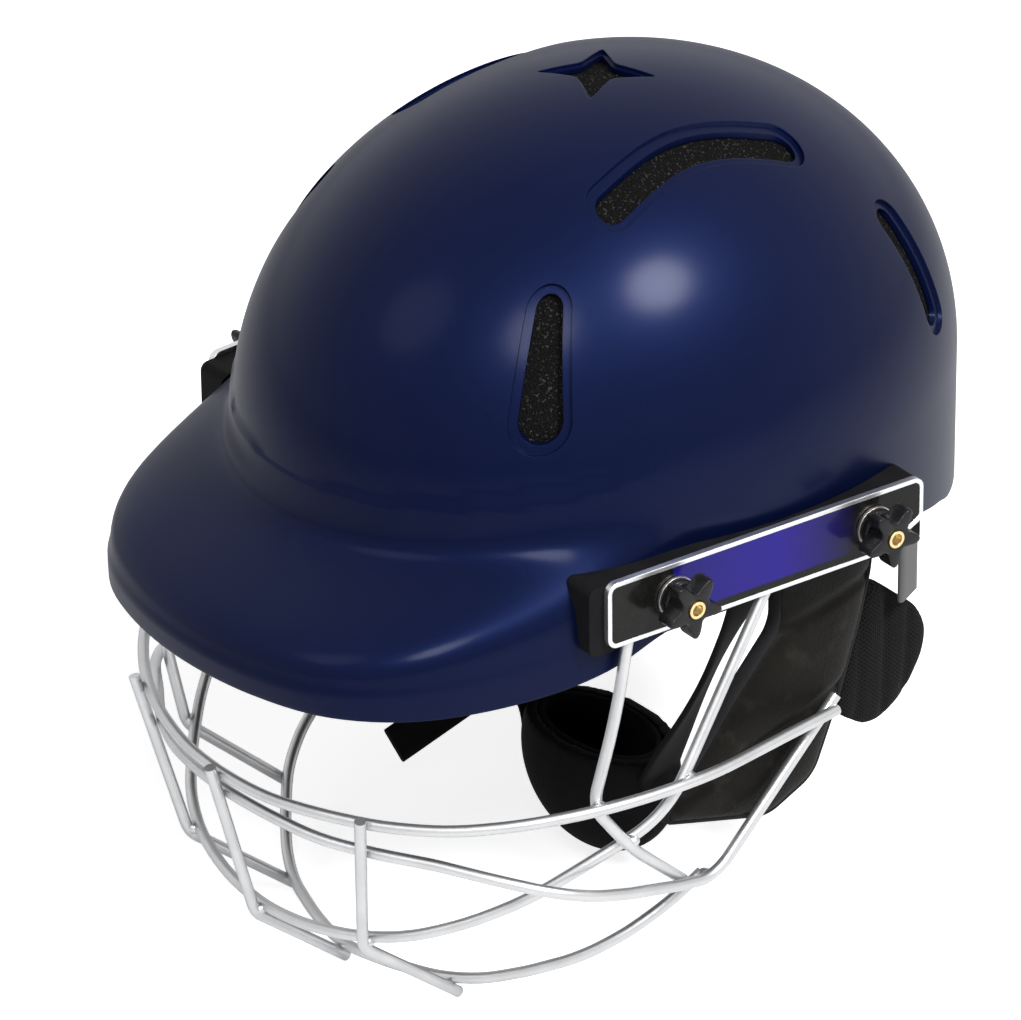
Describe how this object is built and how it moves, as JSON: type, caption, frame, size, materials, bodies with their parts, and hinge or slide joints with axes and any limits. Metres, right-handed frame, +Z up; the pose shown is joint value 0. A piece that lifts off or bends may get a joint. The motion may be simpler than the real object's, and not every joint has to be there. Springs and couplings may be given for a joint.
{
  "type": "cricket helmet",
  "caption": "Cricket helmet: vented shell with a peak, foam liner and pads, ear guards, chin harness, and a steel wire face guard clamped to both sides.",
  "frame": {"origin": "where the top of the wearer's head meets the underside of the crown pad, on the mid-plane", "axes": "+Z up; -Y the way the wearer looks; +X the wearer's left"},
  "size_m": [0.2678, 0.3231, 0.3169],
  "materials": {
    "shell": "matt navy moulded shell",
    "foam": "black open-cell foam skin over the liner",
    "padding": "black brushed fabric padding",
    "guard_leather": "black leather-grain padding",
    "mesh": "black spacer mesh",
    "tab_webbing": "grey hook-and-loop webbing",
    "strap_webbing": "black woven webbing",
    "cup": "soft black moulding",
    "black_plastic": "black moulded plastic",
    "brass": "turned brass",
    "steel_fixings": "plated steel",
    "plate_metal": "bright anodised",
    "label": "glossy black with a blue field",
    "wire": "silver paint over steel"
  },
  "bodies": {
    "helmet": {"shell": "shell", "foam_liner": "foam", "crown_pad": "padding", "forehead_pad": "padding", "nape_pad": "padding", "left_temple_pad": "padding", "right_temple_pad": "padding", "left_backing_block": "black_plastic", "right_backing_block": "black_plastic", "clamp_bolts": "steel_fixings", "clamp_washers": "steel_fixings", "left_ear_guard": "guard_leather", "right_ear_guard": "guard_leather", "ear_guard_studs": "black_plastic", "left_mesh_pad": "mesh", "right_mesh_pad": "mesh", "left_pad_tab": "tab_webbing", "right_pad_tab": "tab_webbing", "strap_rivets": "steel_fixings"},
    "face_guard": {"left_side_plate": "plate_metal", "right_side_plate": "plate_metal", "left_label": "label", "right_label": "label", "top_hoop": "wire", "second_hoop": "wire", "main_hoop": "wire", "chin_hoop": "wire", "centre_bar": "wire", "left_side_bar": "wire", "right_side_bar": "wire", "left_front_brace": "wire", "right_front_brace": "wire", "right_tie_bar": "wire"},
    "chin_harness": {"left_chin_strap": "strap_webbing", "right_chin_strap": "strap_webbing", "chin_cup": "cup", "cup_lining": "padding"},
    "slider": {"strap_slider": "black_plastic", "strap_tongue": "strap_webbing"},
    "left_front_clamp_knob": {"left_front_knob": "black_plastic", "left_front_knob_insert": "brass"},
    "left_rear_clamp_knob": {"left_rear_knob": "black_plastic", "left_rear_knob_insert": "brass"},
    "right_front_clamp_knob": {"right_front_knob": "black_plastic", "right_front_knob_insert": "brass"},
    "right_rear_clamp_knob": {"right_rear_knob": "black_plastic", "right_rear_knob_insert": "brass"}
  },
  "joints": [
    {"name": "guard_tilt", "type": "hinge", "parent": "helmet", "child": "face_guard", "pos_m": [0, 0.02596, -0.1165], "axis": [1, 0, 0], "range_deg": [-3.5, 3.5]},
    {"name": "harness_swing", "type": "hinge", "parent": "helmet", "child": "chin_harness", "pos_m": [0, -0.017, -0.119], "axis": [1, 0, 0], "range_deg": [-10, 0]},
    {"name": "slider_slide", "type": "slide", "parent": "chin_harness", "child": "slider", "axis": [-0.5295, -0.1152, 0.8405], "range_m": [0, 0.025]},
    {"name": "left_front_knob_turn", "type": "hinge", "parent": "helmet", "child": "left_front_clamp_knob", "pos_m": [0.11586, -0.05992, -0.1165], "axis": [0.9986, -0.0523, 0], "continuous": true},
    {"name": "left_rear_knob_turn", "type": "hinge", "parent": "helmet", "child": "left_rear_clamp_knob", "pos_m": [0.12036, 0.02596, -0.1165], "axis": [0.9986, -0.0523, 0], "continuous": true},
    {"name": "right_front_knob_turn", "type": "hinge", "parent": "helmet", "child": "right_front_clamp_knob", "pos_m": [-0.11586, -0.05992, -0.1165], "axis": [-0.9986, -0.0523, 0], "continuous": true},
    {"name": "right_rear_knob_turn", "type": "hinge", "parent": "helmet", "child": "right_rear_clamp_knob", "pos_m": [-0.12036, 0.02596, -0.1165], "axis": [-0.9986, -0.0523, 0], "continuous": true}
  ]
}
